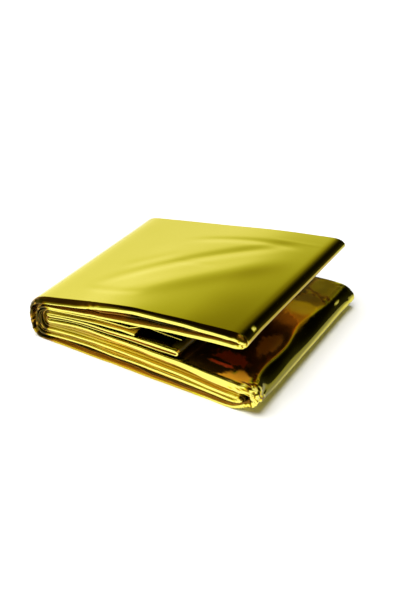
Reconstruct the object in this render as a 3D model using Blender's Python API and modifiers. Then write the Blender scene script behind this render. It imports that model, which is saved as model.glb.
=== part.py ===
"""Emergency foil blanket, folded into the small bundle it is sold and stored as.

The blanket's film is first pleated into a strip as wide as the bundle is deep, and the strip is
then laid back and forth, so the bundle is one long leaf: ten layers joined by round folds. Its
last turn lies on top as a flap that springs up at its open end, and leaves a wedge-shaped gap.

Metres, +Z up. X runs from the spine, where the folds are nested, to the open end, Y runs from the
front edge to the back one, and the origin is under the middle of the bundle, on the surface.
"""

from collections import namedtuple

import bpy
import numpy as np

MM = 0.001

# Driving sizes, in millimetres.
LENGTH = 119.4      # from the outside of the spine to the outside of the big right-hand fold
DEPTH = 97.0        # the strip's width
LEAF = 1.1          # thickness of the leaf that stands for the strip's pleats
FLAP_END = 111.2    # where the flap's own fold ends

# Heights are given where these lines cross the bundle, in millimetres from the spine.
STATIONS = (9.4, 27.4, 45.4, 79.4, 105.4)

POINTS_A_LAYER = 9
POINTS_A_TURN = 7
POINTS_A_WRAP = 11

# Where the leaf is cut across its width, as parts of the depth, closer together at both edges.
ACROSS = (0.0, 0.025, 0.075, 0.16, 0.29, 0.43, 0.57, 0.71, 0.84, 0.93, 1.0)

# One row for each layer, in the order in which the strip runs. "left" and "right" are where the
# layer stops being flat, "front" and "back" hold the heights of its middle at the stations along
# those two edges, and the insets say how far its edges stand back from the bundle's.
Layer = namedtuple("Layer", "name left right front back front_inset back_inset")
LAYERS = (
    Layer("upper tuck", 13.4, 58.4,
          (15.3, 17.6, 20.0, 20.6, 20.6), (11.1, 12.8, 14.3, 16.4, 16.4), 0.6, 1.2),
    Layer("upper pleat", 13.4, 77.4,
          (13.7, 15.9, 17.4, 19.0, 19.0), (9.4, 10.8, 12.0, 13.9, 13.9), 0.3, 0.8),
    Layer("lower pleat", 12.9, 77.8,
          (12.1, 14.3, 15.5, 16.3, 16.3), (7.6, 8.8, 9.8, 11.4, 11.4), 0.9, 0.5),
    Layer("bundle top", 12.9, 106.4,
          (10.4, 12.6, 13.6, 13.6, 13.1), (5.8, 6.8, 7.6, 9.1, 9.9), 0.2, 0.4),
    Layer("base", 7.4, 106.4,
          (0.55, 0.55, 0.55, 0.55, 0.55), (0.55, 0.55, 0.55, 0.55, 0.55), 0.0, 0.2),
    Layer("flap top", 11.4, 107.6,
          (21.4, 25.5, 29.4, 34.6, 35.9), (16.7, 20.0, 23.2, 29.3, 33.2), 0.0, 0.0),
    Layer("flap under", 10.4, 107.6,
          (18.6, 21.2, 23.6, 28.3, 31.3), (14.8, 17.0, 19.3, 26.0, 30.0), 0.5, 0.3),
    Layer("inner base", 8.9, 104.4,
          (3.9, 4.9, 5.1, 5.0, 3.8), (2.3, 2.7, 2.9, 3.2, 3.2), 0.4, 0.9),
    Layer("inner top", 11.4, 104.8,
          (6.3, 7.9, 8.3, 7.8, 6.4), (4.0, 4.8, 5.3, 6.2, 6.4), 0.8, 0.3),
    Layer("tongue", 12.4, 79.4,
          (16.9, 19.4, 21.8, 22.6, 22.6), (12.9, 14.9, 16.8, 19.2, 19.2), 0.7, 0.6),
)

# One row for each fold, between a layer and the next: how far out it reaches, how square it is
# (2 is an ellipse, more is squarer), and how far its front and back corners are drawn in. Where
# that is below 0, the corner flares out instead.
Fold = namedtuple("Fold", "nose squareness front_pull back_pull points")
FOLDS = (
    Fold(11.0, 2.0, -0.3, 0.5, POINTS_A_TURN),
    Fold(79.6, 2.0, 0.3, 0.9, POINTS_A_TURN),
    Fold(10.6, 2.0, 0.4, 0.2, POINTS_A_TURN),
    Fold(LENGTH - LEAF / 2, 2.3, 1.8, 0.4, POINTS_A_WRAP),
    Fold(1.2, 2.5, 0.0, -0.25, POINTS_A_WRAP),
    Fold(FLAP_END - LEAF / 2, 2.0, -0.4, 0.4, POINTS_A_TURN),
    Fold(3.8, 2.5, 0.2, -0.4, POINTS_A_WRAP),
    Fold(107.0, 2.0, 0.5, 1.2, POINTS_A_TURN),
    Fold(7.0, 2.4, -0.5, 0.3, POINTS_A_WRAP),
)

# The tongue's front corner is turned in: it ends here at the front edge, and reaches its full
# length this far back.
TONGUE_CORNER = 56.4
TONGUE_SLANT = 14.0

FOIL_COLOUR = (0.82, 0.68, 0.12, 1.0)
FOIL_ROUGHNESS = 0.12


def smooth_curve(at, places, values):
    """Cubic Hermite curve through the given values, level with its neighbours' slopes."""
    places = np.asarray(places)
    values = np.asarray(values)
    slopes = np.gradient(values, places)
    at = np.clip(at, places[0], places[-1])
    left = np.clip(np.searchsorted(places, at) - 1, 0, len(places) - 2)
    width = places[left + 1] - places[left]
    t = (at - places[left]) / width
    return ((2 * t**3 - 3 * t**2 + 1) * values[left] + (t**3 - 2 * t**2 + t) * width * slopes[left]
            + (3 * t**2 - 2 * t**3) * values[left + 1] + (t**3 - t**2) * width * slopes[left + 1])


def ease(t):
    """0 to 1 along an S-shaped curve, level at both ends."""
    t = np.clip(t, 0.0, 1.0)
    return t * t * (3 - 2 * t)


def height(layer, x, share):
    """Height of a layer's middle at x, where share runs from 0 at the front edge to 1 at the back."""
    front = smooth_curve(x, STATIONS, layer.front)
    back = smooth_curve(x, STATIONS, layer.back)
    return front + (back - front) * share


def ends(layer, share):
    """The two x values between which a layer is flat."""
    right = layer.right
    if layer.name == "tongue":
        right = TONGUE_CORNER + (right - TONGUE_CORNER) * ease(share * DEPTH / TONGUE_SLANT)
    return layer.left, right


def run(layer, to_right, share):
    """(x, z) points along one layer."""
    left, right = ends(layer, share)
    x = np.linspace(left, right, POINTS_A_LAYER)
    if not to_right:
        x = x[::-1]
    return np.stack([x, height(layer, x, share)], axis=1)


def turn(fold, start, end, share):
    """(x, z) points round a fold: half a superellipse from one layer's end to the next one's start."""
    pull = fold.front_pull * ease(1 - share / 0.16) + fold.back_pull * ease((share - 0.84) / 0.16)
    side = np.sign(fold.nose - start[0])
    angle = np.radians(np.linspace(-90.0, 90.0, fold.points + 2)[1:-1])
    out = np.cos(angle) ** (2 / fold.squareness)
    up = np.sign(angle) * np.abs(np.sin(angle)) ** (2 / fold.squareness)
    middle = (start + end) / 2
    along = (end - start) / 2
    x = middle[0] + along[0] * up + (fold.nose - side * pull - middle[0]) * out
    return np.stack([x, middle[1] + along[1] * up], axis=1)


def section(share):
    """The whole folded leaf's middle line at one place across it, from free end to free end."""
    runs = [run(layer, index % 2 == 1, share) for index, layer in enumerate(LAYERS)]
    pieces = [runs[0]]
    for fold, before, after in zip(FOLDS, runs, runs[1:]):
        pieces += [turn(fold, before[-1], after[0], share), after]
    return np.concatenate(pieces)


def edge_insets():
    """How far the leaf's edges stand back along the path, eased from layer to layer over the folds."""
    rows = []
    for index, layer in enumerate(LAYERS):
        rows.append(np.tile([layer.front_inset, layer.back_inset], (POINTS_A_LAYER, 1)))
        if index < len(FOLDS):
            after = LAYERS[index + 1]
            t = np.linspace(0.0, 1.0, FOLDS[index].points + 2)[1:-1, None]
            before = np.array([layer.front_inset, layer.back_inset])
            rows.append(before + (np.array([after.front_inset, after.back_inset]) - before) * ease(t))
    return np.concatenate(rows)


def leaf_surface():
    """Grid of points (along the path, across the leaf, xyz) on the leaf's middle, in metres."""
    insets = edge_insets()
    grid = []
    for share in ACROSS:
        line = section(share)
        y = insets[:, 0] + share * (DEPTH - insets[:, 0] - insets[:, 1])
        grid.append(np.stack([line[:, 0] - LENGTH / 2, y - DEPTH / 2, line[:, 1]], axis=1))
    return np.stack(grid, axis=1) * MM


def foil_material():
    material = bpy.data.materials.new("gold_film")
    material.use_nodes = True
    shader = material.node_tree.nodes["Principled BSDF"]
    shader.inputs["Base Color"].default_value = FOIL_COLOUR
    shader.inputs["Metallic"].default_value = 1.0
    shader.inputs["Roughness"].default_value = FOIL_ROUGHNESS
    return material


def foil_blanket(collection):
    grid = leaf_surface()
    rows, columns = grid.shape[:2]
    corner = (np.arange(rows - 1)[:, None] * columns + np.arange(columns - 1)).ravel()
    faces = np.stack([corner, corner + 1, corner + columns + 1, corner + columns], axis=1)
    mesh = bpy.data.meshes.new("foil_blanket")
    mesh.from_pydata(grid.reshape(-1, 3).tolist(), [], faces.tolist())
    mesh.shade_smooth()
    mesh.materials.append(foil_material())
    blanket = bpy.data.objects.new("foil_blanket", mesh)
    collection.objects.link(blanket)
    solidify = blanket.modifiers.new("leaf", "SOLIDIFY")
    solidify.thickness = LEAF * MM
    solidify.offset = 0.0
    solidify.use_even_offset = True
    return blanket


def main():
    for leftover in list(bpy.data.objects):
        bpy.data.objects.remove(leftover, do_unlink=True)
    collection = bpy.data.collections.new("emergency_foil_blanket")
    bpy.context.scene.collection.children.link(collection)
    foil_blanket(collection)


main()
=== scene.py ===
from collections import namedtuple

import bpy
import numpy as np
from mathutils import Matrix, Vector


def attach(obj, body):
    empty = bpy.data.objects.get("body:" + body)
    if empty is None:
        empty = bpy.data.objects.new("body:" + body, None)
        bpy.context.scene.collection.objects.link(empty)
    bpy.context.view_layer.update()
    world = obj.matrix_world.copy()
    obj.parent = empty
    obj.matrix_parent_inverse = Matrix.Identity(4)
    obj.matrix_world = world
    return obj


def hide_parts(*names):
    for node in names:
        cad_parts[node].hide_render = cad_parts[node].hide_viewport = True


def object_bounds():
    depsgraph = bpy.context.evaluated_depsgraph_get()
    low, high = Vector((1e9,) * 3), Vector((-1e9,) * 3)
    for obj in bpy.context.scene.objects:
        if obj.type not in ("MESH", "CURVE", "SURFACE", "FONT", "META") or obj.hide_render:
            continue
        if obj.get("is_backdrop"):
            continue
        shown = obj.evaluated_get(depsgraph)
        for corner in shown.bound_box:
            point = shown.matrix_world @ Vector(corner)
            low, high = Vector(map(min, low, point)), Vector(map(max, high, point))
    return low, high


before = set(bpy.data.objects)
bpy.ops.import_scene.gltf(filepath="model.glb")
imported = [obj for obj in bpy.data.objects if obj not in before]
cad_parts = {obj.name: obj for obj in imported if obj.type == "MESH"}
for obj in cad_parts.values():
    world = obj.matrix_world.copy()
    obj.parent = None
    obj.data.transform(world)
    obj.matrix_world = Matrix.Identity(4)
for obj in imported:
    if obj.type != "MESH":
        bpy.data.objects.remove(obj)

cadLow, cadHigh = (np.array(corner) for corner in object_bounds())
print("frame loaded, CAD box", np.round(cadHigh - cadLow, 4))

# The folded bundle. Its sizes are in bundle millimetres: x from the outside of the spine, y from the
# front edge, z from the surface. One bundle millimetre is the box's length over the length here.
bundle = dict(
    length=119.4,
    depth=97.0,
    stations=(9.4, 27.4, 45.4, 79.4, 105.4),  # x of the places where the layers' heights are given
    gap=0.16,      # air between a layer and its neighbour
    plyGap=0.05,   # air between two plies of one layer
    openCap=0.62,  # a layer's outer skin lies this far from its middle where nothing presses on it
    topCap=1.0,    # the flap's upper skin lies higher, and rounds down to its front edge
    pullReach=0.16,  # a fold's corners are drawn in over this share of the depth
)
# Where the tongue's front edge steps back, and by how much.
tongueStep = dict(begin=55.0, finish=61.0, depth=4.0)
# The base's front right corner stands up: how far, below what height, between which x, and over what
# share of the depth.
cornerLift = dict(height=3.2, below=9.0, fromX=103.0, toX=117.0, depthShare=0.2)
metresPerUnit = (cadHigh[0] - cadLow[0]) / bundle["length"]

# One row a layer, in the order in which the strip runs. left and right end its flat part, front and
# back are its heights at the stations, insets are how far its front and back edges stand back. Each
# other pair is a value at the left and at the right, and five values are at the stations: shoulder is
# how wide the front edge rounds over and drop how far it falls before the foremost point, main is how
# thick the biggest front fold is, fill is how far the packing may reach, bulk is the layer's weight
# where it shares the room to a neighbour, recess is how far the other folds stand back and tone how
# deep a colour is painted on them, a painted reflection between the plies. inner is 1 where the
# biggest fold lies amid the plies, samples is how finely the run is cut.
layerRow = namedtuple(
    "layerRow",
    "name left right front back insets shoulder drop main fill bulk recess tone inner samples",
)
layers = (
    layerRow(
        "upperTuck", 13.4, 58.4, (14.6, 17.5, 19.4, 19.8, 19.8), (11.1, 12.8, 14.3, 16.4, 16.4),
        (0.3, 1.2), (0.5, 0.6), (0.3, 0.4), (0.6, 1.3), (2.7, 1.2), (1, 1), (0.9, 1.5), (0.4, 0.5), 0, 22,
    ),
    layerRow(
        "upperPleat", 13.4, 77.4, (13.2, 16.0, 17.2, 19.0, 19.0), (9.4, 10.8, 12.0, 13.9, 13.9),
        (0.1, 0.8), (0.5, 0.7), (0.3, 0.5), (0.8, 2.1), (2.7, 2.7), (1, 1.3), (0.9, 1.5), (0.4, 0.9), 0, 34,
    ),
    layerRow(
        "lowerPleat", 12.9, 77.8, (11.8, 14.6, 15.4, 16.2, 16.2), (7.6, 8.8, 9.8, 11.4, 11.4),
        (0.8, 0.5), (0.5, 0.6), (0.3, 0.3), (0.5, 0.6), (2.7, 2.7), (1, 0.7), (0.8, 0.9), (0.5, 1.1), 0, 26,
    ),
    layerRow(
        "bundleTop", 12.9, 111.0, (10.4, 13.3, 13.8, 13.9, 13.0), (5.8, 6.8, 7.6, 9.1, 10.4),
        (0.0, 0.4), (0.5, 1.2), (0.3, 1.2), (1.0, 6.0), (3.6, 5.8), (1, 3.0), (0.4, 1.8), (0.4, 1.0), 0, 66,
    ),
    layerRow(
        "base", 7.4, 106.4, (0.62, 0.62, 0.62, 0.62, 0.62), (0.62, 0.62, 0.62, 0.62, 0.62),
        (0.0, 0.2), (0.5, 0.5), (0.4, 0.4), (1.0, 1.3), (1.2, 1.8), (1, 1), (2.0, 0.7), (1.8, 0.6), 0, 30,
    ),
    layerRow(
        "flapTop", 11.4, 104.6, (20.6, 24.9, 29.5, 34.2, 35.8), (16.7, 20.0, 23.2, 29.3, 33.0),
        (0.0, 0.0), (3.2, 2.7, 1.9, 1.8, 2.6), (2.3, 2.3, 1.5, 1.35, 1.7), (2.7, 3.4),
        (2.7, 2.9), (1.1, 1.5), (2.5, 3.0), (1.1, 1.3), 0, 66,
    ),
    layerRow(
        "flapUnder", 10.4, 106.0, (17.5, 20.6, 23.3, 28.2, 31.0), (14.8, 17.0, 19.3, 26.0, 30.0),
        (0.3, 0.3), (0.5, 0.6), (0.3, 0.5), (1.0, 2.2), (2.7, 2.7), (1, 1), (2.2, 2.6), (0.8, 1.2), 0, 40,
    ),
    layerRow(
        "innerBase", 8.9, 105.6, (3.1, 4.9, 4.9, 4.8, 3.6), (2.3, 2.7, 2.9, 3.2, 3.2),
        (0.2, 0.9), (0.6, 0.7), (0.5, 0.8), (1.1, 1.9), (2.7, 2.7), (1, 1), (0.8, 0.9), (0.6, 0.6), 1, 28,
    ),
    layerRow(
        "innerTop", 11.4, 106.2, (6.0, 7.7, 8.2, 7.4, 5.8), (4.0, 4.8, 5.3, 6.2, 6.4),
        (0.2, 0.3), (0.6, 0.7), (0.5, 0.8), (1.1, 2.1), (2.7, 2.7), (1, 1), (0.6, 1.1), (0.3, 0.6), 1, 28,
    ),
    layerRow(
        "tongue", 12.4, 79.4, (16.0, 19.0, 21.3, 21.8, 21.8), (12.9, 14.9, 16.8, 19.2, 19.2),
        (0.7, 0.6), (0.5, 0.5), (0.3, 0.3), (0.6, 0.5), (2.7, 0.6), (1, 1), (0.9, 1.0), (0.5, 0.9), 0, 40,
    ),
)
stack = (
    "base", "innerBase", "innerTop", "bundleTop", "lowerPleat",
    "upperPleat", "upperTuck", "tongue", "flapUnder", "flapTop",
)  # from the surface up

# One row a fold: its outermost x, the height of that point as a share of the fold's height, how
# square the fold is before and after it, how far its front and back corners are drawn in.
foldRow = namedtuple("foldRow", "nose level squareness frontPull backPull samples")
folds = (
    foldRow(11.0, 0.5, (2.0, 2.0), -0.3, 0.5, 9),
    foldRow(79.9, 0.5, (2.2, 2.2), 0.3, 0.9, 11),
    foldRow(10.6, 0.5, (2.0, 2.0), 0.4, 0.2, 9),
    foldRow(117.7, 0.46, (1.95, 1.85), -0.2, -0.5, 38),
    foldRow(1.2, 0.48, (2.3, 3.6), 0.0, -0.25, 30),
    foldRow(110.9, 0.5, (2.2, 2.0), -0.4, 0.0, 18),
    foldRow(3.8, 0.5, (2.4, 2.6), 0.2, -0.4, 20),
    foldRow(110.6, 0.5, (2.0, 2.0), 0.0, 6.5, 10),
    foldRow(7.0, 0.5, (2.3, 2.3), -0.5, 0.3, 14),
)

# How the strip's width is pleated: six plies, three folds along the front edge and two at the back.
pleats = dict(
    skinPoints=84,
    plyPoints=6,
    foldPoints=(18, 8, 12, 8, 8),  # of the five folds, from the skin inwards
    crowding=0.12,       # how far a ply's points are drawn towards its edges
    mainShare=0.84,      # the main fold takes at most this share of the layer's thickness
    innerShare=0.8,      # and an inner one this share of the room on either side
    mainInset=0.12,      # how far a main fold stands back
    mainWander=0.13,
    mainLimits=(0.0, 0.5),
    fineStep=0.25,       # each fine fold stands back further than the last by this share
    fineWander=0.35,     # of how far the fine folds stand back
    fineLimits=(0.25, 5.0),
    backInset=1.0,
    backWander=0.7,
    backLimits=(0.05, 2.5),
    reach=1.15,          # a fine fold's reach over half its thickness
    dropShare=0.85,      # a main fold falls by at most this share of its thickness
    under=(0.9, 0.35),   # its reach below its foremost point: at most, and over its height
    squareness=2.4,
    flapSquareness=1.25,  # of the upper half of the flap's front fold
    backSquareness=2.0,
)

# The crease along which the bundle's top turns down on the right: its x at each y, the width over
# which it bends the film and that of the painted highlight along it, and the heights between which
# it fades in.
crease = dict(
    y=(0.0, 4.0, 10.0, 18.0, 26.0, 36.0, 44.0, 53.0, 64.0, 75.0, 97.0),
    x=(116.2, 115.0, 112.9, 112.2, 112.9, 113.0, 111.7, 109.9, 111.0, 112.9, 113.6),
    width=4.5,
    lineWidth=0.45,
    fadeFrom=8.0,
    fadeTo=12.0,
)

# Patches of painted reflection and painted shade on the bundle's top inside the mouth, where its
# crinkles also scatter the light: the middle and the reach along x and y, then the painted tone and
# shade there, and how satin it is.
patchRow = namedtuple("patchRow", "name x y reachX reachY tone shade satin")
patches = (
    patchRow("dusk", 96, 48, 25, 60, 1.9, 0.55, 0.12),
    patchRow("streak", 64, 6, 13, 5, 1.4, 0.0, 0.7),
    patchRow("ember", 98, 15, 8.5, 4.5, 2.7, 0.25, 0.40),
    patchRow("spark", 97, 9.0, 6.0, 1.2, 3.0, 0.0, 0.8),
    patchRow("glow", 106.0, 3.6, 6.4, 5.4, 1.0, 0.0, 0.85),
    patchRow("bark", 106, 33, 4.5, 9.5, 1.6, 0.15, 0.6),
    patchRow("straw", 106.0, 69, 8.0, 11.5, 0.7, 0.68, 0.5),
    patchRow("hay", 107.5, 89, 8.0, 9.0, 0.4, 0.45, 0.3),
)


# An S from 0 to 1: three t squared less two t cubed.
def ease(t):
    t = np.clip(t, 0.0, 1.0)
    return t * t * (3 - 2 * t)


# The same S, from 0 where the value is start to 1 where it is finish.
def ramp(value, start, finish):
    return ease((value - start) / (finish - start))


# The sum of a few sine waves in seeded directions, from 0.7 to 1.6 times the size.
def softNoise(x, y, size, seed):
    rng = np.random.default_rng(seed)
    total = 0.0
    for angle, phase, scale in rng.uniform((0, 0, 0.7), (2 * np.pi, 2 * np.pi, 1.6), (7, 3)):
        run = (x * np.cos(angle) + y * np.sin(angle)) * 2 * np.pi / (size * scale)
        total = total + np.sin(run + phase)
    return total / np.sqrt(7)


# Flat facets: triangle waves in seeded directions on a bent grid, so that their ridges stay sharp.
def crumple(x, y, size, seed):
    rng = np.random.default_rng(seed)
    bentX = x + softNoise(x, y, size * 2.3, seed + 1) * size * 0.35
    bentY = y + softNoise(x, y, size * 2.1, seed + 2) * size * 0.35
    total = 0.0
    for angle, phase, scale in rng.uniform((0, 0, 0.6), (np.pi, 1, 1.7), (5, 3)):
        along = (bentX * np.cos(angle) + bentY * np.sin(angle)) / (size * scale) + phase
        total = total + np.abs((along % 1.0) * 2 - 1) * 2 - 1
    return total / 5


# A bell: 1 in the middle, e to the minus square of the distance over the width.
def bell(away, width):
    return np.exp(-((away / width) ** 2))


# A soft furrow from start to end: depth times a bell across it, fading out at both tips. bend bows
# its line sideways by that much at the middle. A negative depth makes a ridge.
def trough(x, y, start, end, width, depth, bend):
    start, end = np.array(start, float), np.array(end, float)
    length = np.hypot(*(end - start))
    way = (end - start) / length
    t = ((x - start[0]) * way[0] + (y - start[1]) * way[1]) / length
    side = (y - start[1]) * way[0] - (x - start[0]) * way[1] - bend * 4 * t * (1 - t)
    return -depth * bell(side, width) * ramp(t, 0, 0.3) * ramp(t, 1, 0.7)


# Cubic Hermite curve through the values, with each slope taken from the neighbours.
def smoothCurve(at, places, values):
    places, values = np.array(places), np.array(values)
    slopes = np.gradient(values, places)
    at = np.clip(at, places[0], places[-1])
    k = np.clip(np.searchsorted(places, at) - 1, 0, len(places) - 2)
    width = places[k + 1] - places[k]
    t = (at - places[k]) / width
    fromStart = (2 * t**3 - 3 * t**2 + 1) * values[k] + (t**3 - 2 * t**2 + t) * width * slopes[k]
    fromEnd = (3 * t**2 - 2 * t**3) * values[k + 1] + (t**3 - t**2) * width * slopes[k + 1]
    return fromStart + fromEnd


# Height of a layer's middle: the front edge's curve blended to the back edge's by share.
def layerHeight(layer, x, share):
    front = smoothCurve(x, bundle["stations"], layer.front)
    back = smoothCurve(x, bundle["stations"], layer.back)
    return front + (back - front) * share


# A value along the layer: between a pair's left and right ones, by x to the given power, or on the
# curve through five values at the stations.
def between(layer, values, x, power=1.0):
    if len(values) == len(bundle["stations"]):
        return smoothCurve(x, bundle["stations"], values)
    across = np.clip((x - layer.left) / (layer.right - layer.left), 0, 1)
    return values[0] + (values[1] - values[0]) * across**power


# Every other layer runs to the right, with its skin side up.
def runsRight(layer):
    return layers.index(layer) % 2 == 1


# How far a layer's skin side and its packing side may reach from its middle: its share, by bulk, of
# the way to the neighbours less half the gap, and never past the caps.
def layerRoom(layer, x, share):
    place = stack.index(layer.name)
    rows = {row.name: row for row in layers}
    middle = layerHeight(layer, x, share)
    bulk = between(layer, layer.bulk, x)
    outerCap = bundle["topCap" if layer.name == "flapTop" else "openCap"]
    room = []
    for neighbour in (place + 1, place - 1):
        if 0 <= neighbour < len(stack):
            other = rows[stack[neighbour]]
            part = bulk / (bulk + between(other, other.bulk, x))
            room.append(np.abs(layerHeight(other, x, share) - middle) * part - bundle["gap"] / 2)
        else:
            room.append(np.full_like(middle, outerCap))
    up, down = room
    skin, packing = (up, down) if runsRight(layer) else (down, up)
    fillCap = between(layer, layer.fill, x)
    return np.minimum(skin, fillCap if layer.inner else outerCap), np.minimum(packing, fillCap)


# One layer: x goes evenly from one end to the other. Returns each field as (samples, profile). The
# fields with a layer's name are 1 on that layer.
def runBlock(layer, share):
    t = np.linspace(0, 1, layer.samples)[:, None] + 0 * share
    x = layer.left + (layer.right - layer.left) * (t if runsRight(layer) else 1 - t)
    skin, packing = layerRoom(layer, x, share)
    fields = dict(x=x, z=layerHeight(layer, x, share), skin=skin, packing=packing)
    for name in ("shoulder", "drop", "main"):
        fields[name] = between(layer, getattr(layer, name), x, 2.0)
    for name in ("recess", "tone"):
        fields[name] = between(layer, getattr(layer, name), x)
    fields["inner"] = np.full_like(x, layer.inner)
    fields["frontInset"] = np.full_like(x, layer.insets[0])
    if layer.name == "tongue":
        step = ramp(x, tongueStep["begin"], tongueStep["finish"])
        fields["frontInset"] += tongueStep["depth"] * step
    fields["backInset"] = np.full_like(x, layer.insets[1])
    for name in ("flapTop", "bundleTop", "flapUnder", "upperPleat", "lowerPleat", "tongue", "base"):
        fields[name] = np.full_like(x, float(layer.name == name))
    return fields


# The slope of a run at its end that touches the fold.
def endSlope(run, outer, inner):
    return (run["z"][outer] - run["z"][inner]) / (run["x"][outer] - run["x"][inner])


# From the end of one layer out to the nose and back to the start of the next. Each half is a quarter
# superellipse, sheared near the layer so that it leaves at the layer's slope. Other fields ease over.
def turnBlock(fold, before, after, share):
    start = {name: field[-1] for name, field in before.items()}
    end = {name: field[0] for name, field in after.items()}
    t = np.linspace(0, 1, fold.samples + 2)[1:-1, None] + 0 * share
    fields = {name: start[name] + (end[name] - start[name]) * ease(t) for name in start}
    reach = bundle["pullReach"]
    pull = fold.frontPull * ramp(share, reach, 0) + fold.backPull * ramp(share, 1 - reach, 1)
    side = np.sign(fold.nose - start["x"].mean())
    noseX = fold.nose - side * pull
    low, high = np.minimum(start["z"], end["z"]), np.maximum(start["z"], end["z"])
    noseZ = low + (high - low) * fold.level
    halves = []
    for layer, slope, power in (
        (start, endSlope(before, -1, -2), fold.squareness[0]),
        (end, endSlope(after, 0, 1), fold.squareness[1]),
    ):
        angle = np.pi * np.minimum(t, 1 - t)
        out = np.sin(angle) ** (2 / power)
        stay = np.cos(angle) ** (2 / power)
        x = layer["x"] + (noseX - layer["x"]) * out
        halves.append((x, noseZ + (layer["z"] - noseZ) * stay + slope * (x - layer["x"]) * stay))
    first = t <= 0.5
    fields["x"] = np.where(first, halves[0][0], halves[1][0])
    fields["z"] = np.where(first, halves[0][1], halves[1][1])
    return fields


# The whole strip from free end to free end, as a dictionary of (path, profile) arrays. The base's
# front right corner stands up off the surface, and the bundle's top swings along its crease.
def stripFields(share):
    share = np.asarray(share)[None, :]
    runs = [runBlock(layer, share) for layer in layers]
    blocks = [runs[0]]
    for fold, before, after in zip(folds, runs, runs[1:]):
        blocks += [turnBlock(fold, before, after, share), after]
    strip = {name: np.concatenate([block[name] for block in blocks]) for name in runs[0]}
    low = np.clip(1 - strip["z"] / cornerLift["below"], 0, 1)
    rise = ramp(strip["x"], cornerLift["fromX"], cornerLift["toX"])
    rise = rise * ramp(share, cornerLift["depthShare"], 0)
    strip["z"] = strip["z"] + cornerLift["height"] * low * rise

    creaseX = np.mean(crease["x"])
    swing = smoothCurve(bundle["depth"] * share, crease["y"], crease["x"]) - creaseX
    onTop = ease(strip["bundleTop"] * 1.2) * ramp(strip["z"], crease["fadeFrom"], crease["fadeTo"])
    away = strip["x"] - creaseX
    # Where the painted highlight along the crease lies.
    strip["onCrease"] = bell(away, crease["lineWidth"]) * onTop
    strip["x"] = strip["x"] + swing * bell(away, crease["width"]) * onTop
    return strip


# The pleated section's columns: for each its part (ply or fold), which one it is, and a parameter.
# Plies run 0 to 5 from the skin inwards. Even plies run to the front, odd ones to the back.
def profileColumns():
    columns = []
    for ply in range(6):
        t = np.linspace(0, 1, pleats["skinPoints"] if ply == 0 else pleats["plyPoints"])
        t = t - pleats["crowding"] * np.sin(2 * np.pi * t)
        share = 1 - t if ply % 2 == 0 else t
        columns += [("ply", ply, u) for u in share]
        if ply < 5:
            part = "front" if ply % 2 == 0 else "back"
            angles = np.linspace(0.5, -0.5, pleats["foldPoints"][ply] + 2)[1:-1] * np.pi
            columns += [(part, ply, angle) for angle in angles]
    return columns


# Six levels from the skin side to the packing side. In an outer layer the thick front fold joins
# plies 0 and 1, in an inner one plies 2 and 3, and the other plies share what is left.
def plyLevels(strip):
    skin, packing, inner = strip["skin"], strip["packing"], strip["inner"]
    gap = bundle["plyGap"]
    whole = skin + packing
    thick = np.minimum(strip["main"], pleats["mainShare"] * whole - 2 * gap)
    thin = (whole - thick - 2 * gap) / 2
    outer = np.cumsum([skin, -thick, -gap + 0 * skin, -thin, -gap + 0 * skin, -thin], axis=0)
    half = np.minimum(thick / 2, pleats["innerShare"] * np.minimum(skin, packing))
    middle = np.array([skin, half + gap, half, -half, -half - gap, -packing])
    return outer + (middle - outer) * inner


# The front folds' and the back folds' shapes. Each is the place of its tip, its level, its height
# above and below that, and its reach above and below.
def foldShapes(strip, levels, edgeLine):
    isMain = [1 - strip["inner"], strip["inner"], 0 * strip["inner"]]
    front, back = [], []
    for n in range(3):
        wander = pleats["fineWander"] * softNoise(edgeLine, 0 * edgeLine + n * 37, 21.0, 40 + n)
        fine = np.clip(strip["recess"] * (1 + pleats["fineStep"] * n + wander), *pleats["fineLimits"])
        plain = pleats["mainInset"] + pleats["mainWander"] * softNoise(edgeLine, 0 * edgeLine, 23.0, 60 + n)
        plain = np.clip(plain, *pleats["mainLimits"])
        tip = strip["frontInset"] + isMain[n] * plain + (1 - isMain[n]) * fine
        thickness = levels[2 * n] - levels[2 * n + 1]
        half = thickness / 2
        reach = half * pleats["reach"]
        drop = np.minimum(strip["drop"], pleats["dropShare"] * thickness)
        up = half + (drop - half) * isMain[n]
        down = thickness - up
        upReach = reach + (strip["shoulder"] - reach) * isMain[n]
        under = np.minimum(pleats["under"][0], down * pleats["under"][1])
        front.append((tip, levels[2 * n] - up, up, down, upReach, reach + (under - reach) * isMain[n]))

        wander = pleats["backWander"] * softNoise(edgeLine, 0 * edgeLine + n * 31, 19.0, 80 + n)
        stand = np.clip(pleats["backInset"] + wander, *pleats["backLimits"]) * (n > 0)
        tip = bundle["depth"] - strip["backInset"] - stand
        if n == 0:
            edge = tip
        else:
            half = (levels[2 * n - 1] - levels[2 * n]) / 2
            reach = half * pleats["reach"]
            back.append((tip, levels[2 * n - 1] - half, half, half, reach, reach))
    return front, back, edge


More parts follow.
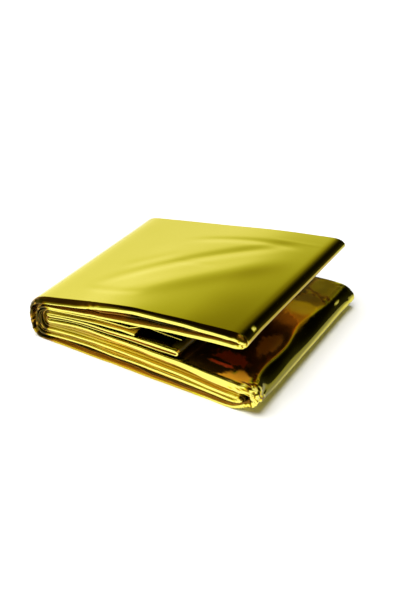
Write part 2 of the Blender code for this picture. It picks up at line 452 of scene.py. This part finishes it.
# A profile carried along a path: the point at (path, profile) is the path's point, plus the profile's
# height along the path's normal, plus its y across the strip. Returns the points, how far along the
# path each is, and the film's look there.
def stripSurface():
    columns = profileColumns()
    kinds = np.array([kind for kind, _, _ in columns])
    plies = np.array([ply for _, ply, _ in columns])
    values = np.array([value for _, _, value in columns])
    share = np.where(kinds == "ply", values, np.where(kinds == "front", 0.0, 1.0))
    strip = stripFields(share)
    steps = np.hypot(np.gradient(strip["x"], axis=0), np.gradient(strip["z"], axis=0))
    along = np.cumsum(steps, axis=0)
    levels = plyLevels(strip)
    front, back, edge = foldShapes(strip, levels, along[:, :1])

    y = np.zeros_like(strip["x"])
    h = np.zeros_like(strip["x"])
    for ply in range(6):
        mask = (kinds == "ply") & (plies == ply)
        tip, _, _, _, upReach, downReach = front[ply // 2]
        foremost = tip + (upReach if ply % 2 == 0 else downReach)
        if ply == 0:
            hindmost = edge
        elif ply == 5:
            hindmost = back[1][0]
        else:
            hindmost = back[(ply - 1) // 2][0] - back[(ply - 1) // 2][5]
        y[:, mask] = (foremost + (hindmost - foremost) * share)[:, mask]
        h[:, mask] = levels[ply][:, mask]
    for part, sign, shapes in (("front", 1, front), ("back", -1, back)):
        for n, (tip, level, up, down, upReach, downReach) in enumerate(shapes):
            mask = (kinds == part) & (plies == 2 * n + (part == "back"))
            angle = values[None, :]
            square = 2 / pleats["squareness" if part == "front" else "backSquareness"]
            if part == "front" and n == 0:
                rounder = (pleats["flapSquareness"] - pleats["squareness"]) * strip["flapTop"]
                square = np.where(angle > 0, 2 / (pleats["squareness"] + rounder), square)
            reach = np.where(angle > 0, upReach, downReach)
            height = np.where(angle > 0, up, down)
            rise = np.sign(angle) * np.abs(np.sin(angle)) ** square
            y[:, mask] = (tip + sign * reach * (1 - np.abs(np.cos(angle)) ** square))[:, mask]
            h[:, mask] = (level + height * rise)[:, mask]

    onSkin = ((plies == 0) & (kinds == "ply")) * 1.0
    inner = strip["inner"]
    onMain = (kinds == "front") * ((plies == 0) * (1 - inner) + (plies == 2) * inner)
    atFront = np.exp(-np.clip(y, 0, None) / 3.0)
    y = y + ruffle(strip, along, h) * atFront
    h = h + relief(strip, y, along) * (0.2 + 0.8 * np.maximum(onSkin, onMain))
    wayX, wayZ = np.gradient(strip["x"], axis=0), np.gradient(strip["z"], axis=0)
    length = np.hypot(wayX, wayZ)
    points = np.stack([strip["x"] - wayZ / length * h, y, strip["z"] + wayX / length * h], axis=-1)
    return points, along, filmLook(strip, along, y, h, onSkin, onMain)


# Furrows on the flap: start and end as (x, y), then the width, the depth, which is
# negative for a ridge, and how far the line bows sideways.
furrowRow = namedtuple("furrowRow", "name start end width depth bend")
furrows = (
    furrowRow("mainFurrow", (20, 14), (98, 86), 4.2, 0.28, 6),
    furrowRow("mainRidge", (36, 8), (102, 74), 7.5, -0.30, 0),
    furrowRow("fineFurrow", (46, 50.4), (71, 51.2), 1.4, 0.06, 0),
    furrowRow("frontFurrow", (20, 17), (54, 16.5), 2.6, 0.13, -2.2),
    furrowRow("backFurrow", (36, 73), (102, 80), 2.8, 0.16, 5),
    furrowRow("backRidge", (76, 86.6), (108, 86.0), 0.9, -0.03, 0),
    furrowRow("shortFurrow", (24, 38), (48, 62), 3.2, 0.10, 0),
)
# How high the film's waves and crinkles stand.
crinkles = dict(
    waves=0.02,
    ripples=0.004,
    mouth=0.10,
    mouthFine=0.03,
    corner=0.8,
    spine=0.4,
    backCorner=0.4,
)


# Height that the film stands above its even shape: the flap's furrows, crinkles at the mouth of the
# bundle and at its corners, and a faint unevenness all over.
def relief(strip, y, along):
    x = strip["x"]
    lift = crinkles["waves"] * softNoise(x, y, 42.0, 3) + crinkles["ripples"] * softNoise(along, y, 13.0, 4)
    flap = sum(trough(x, y, *row[1:]) for row in furrows)
    mouth = ramp(x, 78, 96) * (1 - 0.8 * ramp(x, 110, 116))
    coarse = crinkles["mouth"] * crumple(x, y, 9.0, 21)
    top = mouth * (coarse + crinkles["mouthFine"] * crumple(x, y, 3.5, 23))
    corner = ramp(x, 106, 111) * ramp(y, 11, 4) * ease(strip["bundleTop"] * 3 + 0.2)
    backCorner = ramp(x, 104, 112) * ramp(y, 86, 92) * ease(strip["bundleTop"] * 3)
    spine = ramp(x, 10, 4) * ramp(y, 6, 1)
    edges = (
        crinkles["corner"] * corner * crumple(along, y, 4.5, 31)
        + crinkles["spine"] * spine * crumple(along, y, 4.0, 33)
        + crinkles["backCorner"] * backCorner * crumple(along, y, 6.0, 35)
    )
    return lift + strip["flapTop"] * flap + strip["bundleTop"] * top + edges


# The front edge's unevenness: how deep its waves and facets are, and the flap's kinks, each with its
# x, width and depth.
frontEdge = dict(waves=0.05, corner=0.7, spine=0.5, tip=0.35, kinks=((38, 0.9, 0.5), (34.5, 0.7, 0.4)))


# How far the front edge stands back from its even line: a slight waviness, facets at the right-hand
# corner, the spine and the flap's tip, and small kinks on the flap.
def ruffle(strip, along, h):
    x = strip["x"]
    wave = frontEdge["waves"] * softNoise(along, h, 9.0, 51)
    corner = ramp(x, 104, 110) * ease(strip["bundleTop"] * 3 + 0.3)
    spine = ramp(x, 11, 5)
    facets = frontEdge["corner"] * corner * crumple(along, h, 4.0, 53)
    facets = facets + frontEdge["spine"] * spine * crumple(along, h, 4.0, 55)
    kink = sum(depth * bell(x - place, width) for place, width, depth in frontEdge["kinks"])
    tip = frontEdge["tip"] * ramp(x, 99, 103) * crumple(along, h, 2.2, 57)
    return wave + facets + (strip["flapTop"] + strip["flapUnder"]) * (kink + tip)


# A look is three numbers for each point. tone is a colour painted for reflections: -1 the light
# yellow of a painted highlight, 0 gold, 1 amber, 2 dark brown, 3 red, the deeper ones painted
# reflection and shade. shade is how much painted shade darkens it and satin is how much it scatters
# light, both from 0 to 1. These are the looks of single places: painted shade, painted highlights and
# painted reflections.
paintedLights = dict(
    creaseHighlight=(-0.2, 0.3, 0.5),
    pleatEndShade=(2.0, 0.97, 0.9),
    flapSlopeShade=(1.6, 0.55, 0.0),
    baseEdgeShade=(0.9, 0.3, 0.5),
    baseFoldShade=(0.4, 0.25, 0.3),
    shadedFacet=(1.8, 0.85, 0.1),
    highlightFacet=(-1.0, 0.0, 0.8),
    spine=(1.9, 0.88, 0.1),
    spineReflectionFacet=(0.4, 0.35, 0.5),
    tuftShade=(1.8, 0.8, 0.15),
    tipShadeFacet=(1.2, 0.75, 0.1),
    paintedGlint=(-1.0, 0.0, 0.75),
)

# Two small painted glints on the film's rounded edges: the middle, the reach along x and y, and the least
# height.
paintedGlintRow = namedtuple("paintedGlintRow", "name x y reachX reachY aboveZ")
paintedGlints = (
    paintedGlintRow("onWrap", 115.6, 82.0, 0.45, 2.2, 4),
    paintedGlintRow("onFlap", 109.9, 10.0, 0.5, 1.5, 33),
)


# Moves a look towards another painted look by as much as the mask covers.
def lay(look, mask, spot):
    return [old + (new - old) * mask for old, new in zip(look, spot)]


# 1 on the bundle's top, going to 0 past its crease.
def beforeCrease(x, y):
    return ramp(x - smoothCurve(y, crease["y"], crease["x"]), 0.6, -0.6)


# 0 at the front edge, going to 1 just inside it.
def inside(y):
    return ramp(y, 1.4, 2.2)


# The painted light that goes with the folds: a painted highlight on the main folds, painted reflection
# deepening the colour of the folds that stand back, painted shade in the mouth and where the bundle's
# top has turned down.
def foldLook(strip, y, onSkin, onMain):
    x, z = strip["x"], strip["z"]
    recessed = (1 - onSkin) * (1 - onMain)
    under = strip["upperPleat"] + strip["flapUnder"]
    deep = strip["bundleTop"] + under + strip["lowerPleat"] + strip["tongue"]
    flap = np.clip(strip["flapTop"] + strip["flapUnder"], 0, 1)
    left = ramp(x, 50, 25) * (1 - flap)

    # Painted highlight on the main folds, and painted reflection deepening the folds that stand back.
    tone = strip["tone"] * recessed - onMain
    # Painted reflection deepening the skin under the flap, and a painted highlight along its front edge.
    tone = tone + onSkin * (np.clip(under, 0, 1) * inside(y) * ramp(y, 91, 83) - ramp(y, 1.6, 1.0))

    # Painted shade in the mouth, off the main folds.
    mouth = ramp(x, 93, 78) * ramp(x, 50, 60) * ramp(y, 1.6, 2.8)
    shade = 0.92 * np.clip(deep, 0, 1) * mouth * (1 - 0.9 * onMain)
    # Painted shade where the bundle's top has turned down past its crease, lighter low down.
    wrapShade = (1 - beforeCrease(x, y)) * ramp(strip["bundleTop"] + strip["base"], 0, 0.25) * ramp(y, 2.5, 4.5)
    wrapShade = wrapShade * (1 - onMain) * ramp(z, 1, 2) * ramp(z, 16, 14)
    shade = shade + wrapShade * (0.85 - 0.60 * ramp(z, 7.2, 5.7))
    # Painted shade on the flap's right end.
    shade = shade + 0.6 * ramp(x, 107, 108.5) * ramp(z, 20, 23) * ramp(y, 2.5, 4.5)
    # Painted shade on the folds that stand back, more on the flap and to the left.
    shade = shade + recessed * (0.12 + 0.35 * flap + 0.30 * left)
    # Painted shade on the spine's upper skin.
    shade = shade + 0.22 * ramp(x, 8, 4) * ramp(z, 9, 15) * onSkin
    satin = (0.55 + 0.3 * left) * recessed * ramp(y, 8, 5)
    return [tone, shade, satin]


# The patches of painted reflection and painted shade on the bundle's top, the painted highlight along
# its crease and the painted shade on the pleats' turned ends.
def mouthLook(look, strip, y, onSkin):
    x = strip["x"]
    ragged = 0.55 * crumple(x, y, 7.0, 71)
    softness = 1.6
    onTop = strip["bundleTop"] * onSkin * inside(y) * beforeCrease(x, y)
    # Each patch lays its painted reflection colour and painted shade, and sets how satin it is.
    for row in patches:
        away = np.hypot((x - row.x) / row.reachX, (y - row.y) / row.reachY) + ragged
        mask = ease((1 - away) * np.sqrt(row.reachX * row.reachY) / softness + 0.5)
        look = lay(look, mask * onTop, (row.tone, row.shade, row.satin))
    # Painted highlight along the crease.
    look = lay(look, 0.8 * strip["onCrease"] * onSkin * ramp(y, 3, 6), paintedLights["creaseHighlight"])
    # Painted shade on the pleats' turned ends.
    turned = ramp(x, 76, 78) * ramp(y, 2.2, 3.2) * np.clip(strip["upperPleat"] + strip["lowerPleat"], 0, 1)
    return lay(look, turned, paintedLights["pleatEndShade"])


# Painted light along the front edge: painted shade on the flap's slope, a brown band of painted shade
# on the base over its less shaded fold, and painted shade and painted highlights on the facets of the
# corner, the spine, the crumple beside it and the flap's tip. Last, the painted glints.
def edgeLook(look, strip, along, y, h, onSkin, onMain):
    x, z = strip["x"], strip["z"]
    facets = crumple(along, y + h, 3.0, 73)
    atFront = ramp(y, 2.4, 1.6)

    # Painted shade on the flap's front slope.
    look = lay(look, strip["flapTop"] * onMain * ramp(y, 0.45, 0.85), paintedLights["flapSlopeShade"])

    # A brown band of painted shade on the base's folds that stand back, less at its lowest edge, and
    # painted shade on its main fold.
    front = strip["base"] * ramp(y, 8, 5)
    low = front * (1 - onSkin) * (1 - onMain)
    baseShadeBand = (2.2 - 0.7 * ramp(x, 55, 95), 0.8 - 0.35 * ramp(x, 50, 95), 0.5)
    look = lay(look, low, baseShadeBand)
    look = lay(look, low * ramp(h, -1.1, -0.8), paintedLights["baseEdgeShade"])
    look = lay(look, front * onMain * ramp(x, 96, 86), paintedLights["baseFoldShade"])

    # Painted shade and painted highlights on the facets of the right-hand corner.
    corner = ramp(x, 103.5, 107.5) * ramp(y + 0.4 * (118 - x), 7, 5) * ramp(z, 2, 4)
    corner = corner * (1 - ramp(strip["flapTop"] + strip["flapUnder"], 0.1, 1.1))
    look = lay(look, corner * ramp(facets, 0.12, 0.22), paintedLights["shadedFacet"])
    look = lay(look, corner * ramp(facets, -0.16, -0.26), paintedLights["highlightFacet"])

    # Painted shade on the spine, with painted reflections on some facets.
    spine = ramp(x, 11.8, 10.3) * atFront
    look = lay(look, spine, paintedLights["spine"])
    look = lay(look, spine * ramp(facets, 0.28, 0.36), paintedLights["spineReflectionFacet"])
    # Painted shade on the crumple beside the spine.
    tuftShade = ease(1 - np.hypot((x - 20.0) / 8.0, (z - 9.4) / 1.6) + 0.8 * facets) * atFront
    look = lay(look, np.clip(2 * tuftShade, 0, 1), paintedLights["tuftShade"])

    # Painted shade and painted highlights on the facets of the flap's tip.
    tip = ramp(x, 107.5, 109) * ramp(z, 26, 28) * ramp(y, 3.5, 2.5)
    look = lay(look, tip * ramp(facets, 0.05, 0.15), paintedLights["tipShadeFacet"])
    look = lay(look, tip * ramp(facets, -0.15, -0.25), paintedLights["highlightFacet"])

    # The painted glints.
    for paintedGlint in paintedGlints:
        below = 3 * ramp(z, paintedGlint.aboveZ, paintedGlint.aboveZ - 2)
        away = np.hypot((x - paintedGlint.x) / paintedGlint.reachX, (y - paintedGlint.y) / paintedGlint.reachY) + below
        look = lay(look, onSkin * ramp(away, 1.2, 0.8), paintedLights["paintedGlint"])
    return look


# The film's whole look, its painted highlights, painted reflections and painted shade and its satin,
# as one array each for tone, shade and satin.
def filmLook(strip, along, y, h, onSkin, onMain):
    look = foldLook(strip, y, onSkin, onMain)
    look = mouthLook(look, strip, y, onSkin)
    tone, shade, satin = edgeLook(look, strip, along, y, h, onSkin, onMain)
    return dict(tone=tone, shade=np.clip(shade, 0, 1), satin=np.clip(satin, 0, 1))


# A grid of points, (rows, columns, xyz) in metres, as one smooth-shaded mesh of quads.
def meshObject(name, points):
    rows, columns = points.shape[:2]
    corner = (np.arange(rows - 1)[:, None] * columns + np.arange(columns - 1)).ravel()
    faces = np.stack([corner, corner + 1, corner + columns + 1, corner + columns], axis=1)
    mesh = bpy.data.meshes.new(name)
    mesh.from_pydata(points.reshape(-1, 3), [], faces.tolist())
    mesh.shade_smooth()
    piece = bpy.data.objects.new(name, mesh)
    bpy.context.scene.collection.objects.link(piece)
    return piece


# A socket, on which + - and * build Math nodes.
class Wire:
    def __init__(self, book, socket):
        self.book = book
        self.socket = socket

    def math(self, operation, first, second):
        return self.book.node("ShaderNodeMath", dict(operation=operation), [first, second])

    def __add__(self, other):
        return self.math("ADD", self, other)

    def __radd__(self, other):
        return self.math("ADD", other, self)

    def __sub__(self, other):
        return self.math("SUBTRACT", self, other)

    def __rsub__(self, other):
        return self.math("SUBTRACT", other, self)

    def __mul__(self, other):
        return self.math("MULTIPLY", self, other)

    def __rmul__(self, other):
        return self.math("MULTIPLY", other, self)

    # An S from 0 to 1 while the value goes from low to high.
    def step(self, low, high):
        settings = dict(interpolation_type="SMOOTHSTEP")
        inputs = {"Value": self, "From Min": low, "From Max": high}
        return self.book.node("ShaderNodeMapRange", settings, inputs)


# The nodes of one material or world.
class Book:
    def __init__(self, tree):
        self.tree = tree

    # One node: its type, then its settings, then values or wires for its sockets.
    def node(self, kind, settings=None, inputs=None, output=0):
        made = self.tree.nodes.new(kind)
        for name, value in (settings or {}).items():
            if name == "stops":
                ramp = made.color_ramp
                while len(ramp.elements) < len(value):
                    ramp.elements.new(0.5)
                for element, (position, colour) in zip(ramp.elements, value):
                    element.position = position
                    element.color = (*colour, 1.0)
            else:
                setattr(made, name, value)
        pairs = inputs.items() if isinstance(inputs, dict) else enumerate(inputs or [])
        for key, value in pairs:
            if isinstance(value, Wire):
                self.tree.links.new(value.socket, made.inputs[key])
            else:
                made.inputs[key].default_value = value
        return Wire(self, made.outputs[output])

    # first where the factor is 0, second where it is 1.
    def mix(self, factor, first, second):
        return self.node("ShaderNodeMix", dict(data_type="RGBA"), {0: factor, 6: first, 7: second}, 2)


# Gold, with the colours of painted highlights, painted reflections and painted shade.
film = dict(
    paintedHighlight=(0.88, 0.80, 0.15, 1.0),
    gold=(0.87, 0.76, 0.02, 1.0),
    amber=(0.80, 0.36, 0.02, 1.0),
    brown=(0.20, 0.075, 0.012, 1.0),
    ember=(0.60, 0.07, 0.02, 1.0),
    shaded=(0.05, 0.043, 0.0, 1.0),
    roughness=0.13,
)


# Gold film: polished metal, with painted highlights, reflections and shade mixed into its colour by
# the tone and shade attributes, and less metallic where satin.
def filmMaterial():
    material = bpy.data.materials.new("goldFilm")
    material.use_nodes = True
    shader = material.node_tree.nodes["Principled BSDF"]
    book = Book(material.node_tree)
    tone, shade, satin = (
        book.node("ShaderNodeAttribute", dict(attribute_name=name), output=2)
        for name in ("tone", "shade", "satin")
    )
    plain = book.mix(tone.step(-1.0, 0.0), film["paintedHighlight"], film["gold"])
    warm = book.mix(tone.step(0.0, 1.0), plain, film["amber"])
    deep = book.mix(tone.step(1.0, 2.0), warm, film["brown"])
    full = book.mix(tone.step(2.0, 3.0), deep, film["ember"])
    colour = book.mix(shade, full, film["shaded"])
    material.node_tree.links.new(colour.socket, shader.inputs["Base Color"])
    material.node_tree.links.new((1.0 - satin).socket, shader.inputs["Metallic"])
    shader.inputs["Roughness"].default_value = film["roughness"]
    return material


print("folding the strip")
points, along, look = stripSurface()
centre = np.array([bundle["length"] / 2, bundle["depth"] / 2, 0.0])
blanket = meshObject("foilBlanket", (points - centre) * metresPerUnit)
for name, values in look.items():
    attribute = blanket.data.attributes.new(name, "FLOAT", "POINT")
    attribute.data.foreach_set("value", (values + 0 * along).ravel())
blanket.data.materials.append(filmMaterial())
print("strip folded,", len(blanket.data.polygons), "faces")

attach(blanket, "root")
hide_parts("foil_blanket")

studio = dict(
    floorSize=6.0,
    floorColour=(0.93, 0.93, 0.93, 1.0),
    floorRoughness=0.9,
    target=(0.00259, 0.00017, 0.0117),
    azimuth=30.785,
    elevation=33.03,
    distance=0.4617,
    lens=59.9,
    lampSize=1.6,
    lampPlace=(-0.3, -0.3, 1.5),
    lampPower=42.0,
    dimming=0.92,  # of the wall behind and to the right
    wallStops=(    # the walls' colour by height: 0 at the horizon and below it, 1 overhead
        (0.00, (1.15, 1.15, 1.15)),
        (0.20, (0.88, 0.88, 0.85)),
        (0.255, (0.82, 0.83, 0.70)),
        (0.30, (0.60, 0.61, 0.32)),
        (0.35, (0.49, 0.50, 0.18)),
        (0.40, (0.37, 0.36, 0.09)),
        (0.446, (0.235, 0.218, 0.04)),
        (0.50, (0.175, 0.152, 0.03)),
        (0.58, (0.13, 0.108, 0.02)),
        (0.66, (0.04, 0.033, 0.01)),
        (0.75, (0.018, 0.015, 0.006)),
        (0.93, (0.03, 0.025, 0.01)),
        (1.00, (0.50, 0.50, 0.50)),
    ),
)


# A wide plain floor.
def addFloor():
    half = studio["floorSize"] / 2
    grid = np.array([[(-half, -half, 0), (half, -half, 0)], [(-half, half, 0), (half, half, 0)]], float)
    floor = meshObject("floor", grid)
    material = bpy.data.materials.new("paleFloor")
    material.use_nodes = True
    shader = material.node_tree.nodes["Principled BSDF"]
    shader.inputs["Base Color"].default_value = studio["floorColour"]
    shader.inputs["Roughness"].default_value = studio["floorRoughness"]
    floor.data.materials.append(material)
    floor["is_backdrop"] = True


# One wide soft lamp overhead, which lights the floor and doesn't show in the film.
def addLamp():
    data = bpy.data.lights.new("softLamp", "AREA")
    data.shape = "DISK"
    data.size = studio["lampSize"]
    data.energy = studio["lampPower"]
    lamp = bpy.data.objects.new("softLamp", data)
    lamp.location = studio["lampPlace"]
    lamp.rotation_euler = (-Vector(studio["lampPlace"])).to_track_quat("-Z", "Y").to_euler()
    lamp.visible_glossy = False
    bpy.context.scene.collection.objects.link(lamp)


# Studio walls, which only the film shows: bright at the horizon, warm and dark from a third of the way
# up, paler overhead. The wall behind and to the right is dim.
def addWorld():
    world = bpy.data.worlds.new("studio")
    bpy.context.scene.world = world
    world.use_nodes = True
    tree = world.node_tree
    book = Book(tree)
    direction = book.node("ShaderNodeTexCoord", output=0)
    toRight, toBack, up = (
        book.node("ShaderNodeSeparateXYZ", None, [direction], axis)
        for axis in range(3)
    )
    level = book.node("ShaderNodeValToRGB", dict(stops=studio["wallStops"]), [up])
    dim = 1.0 - studio["dimming"] * (toRight.step(-0.38, -0.02) * toBack.step(-0.1, 0.3))
    background = tree.nodes["Background"]
    tree.links.new(level.socket, background.inputs["Color"])
    tree.links.new(dim.socket, background.inputs["Strength"])


# Placed by its target, azimuth, elevation and distance.
def addCamera():
    azimuth, elevation = np.radians([studio["azimuth"], studio["elevation"]])
    level = np.cos(elevation)
    back = Vector((np.sin(azimuth) * level, -np.cos(azimuth) * level, np.sin(elevation)))
    data = bpy.data.cameras.new("camera")
    data.lens = studio["lens"]
    data.clip_start = 0.01
    camera = bpy.data.objects.new("camera", data)
    camera.location = Vector(studio["target"]) + back * studio["distance"]
    camera.rotation_euler = back.to_track_quat("Z", "Y").to_euler()
    bpy.context.scene.collection.objects.link(camera)
    bpy.context.scene.camera = camera


addFloor()
addLamp()
addWorld()
addCamera()
bpy.context.scene.view_settings.view_transform = "Standard"
print("studio ready")
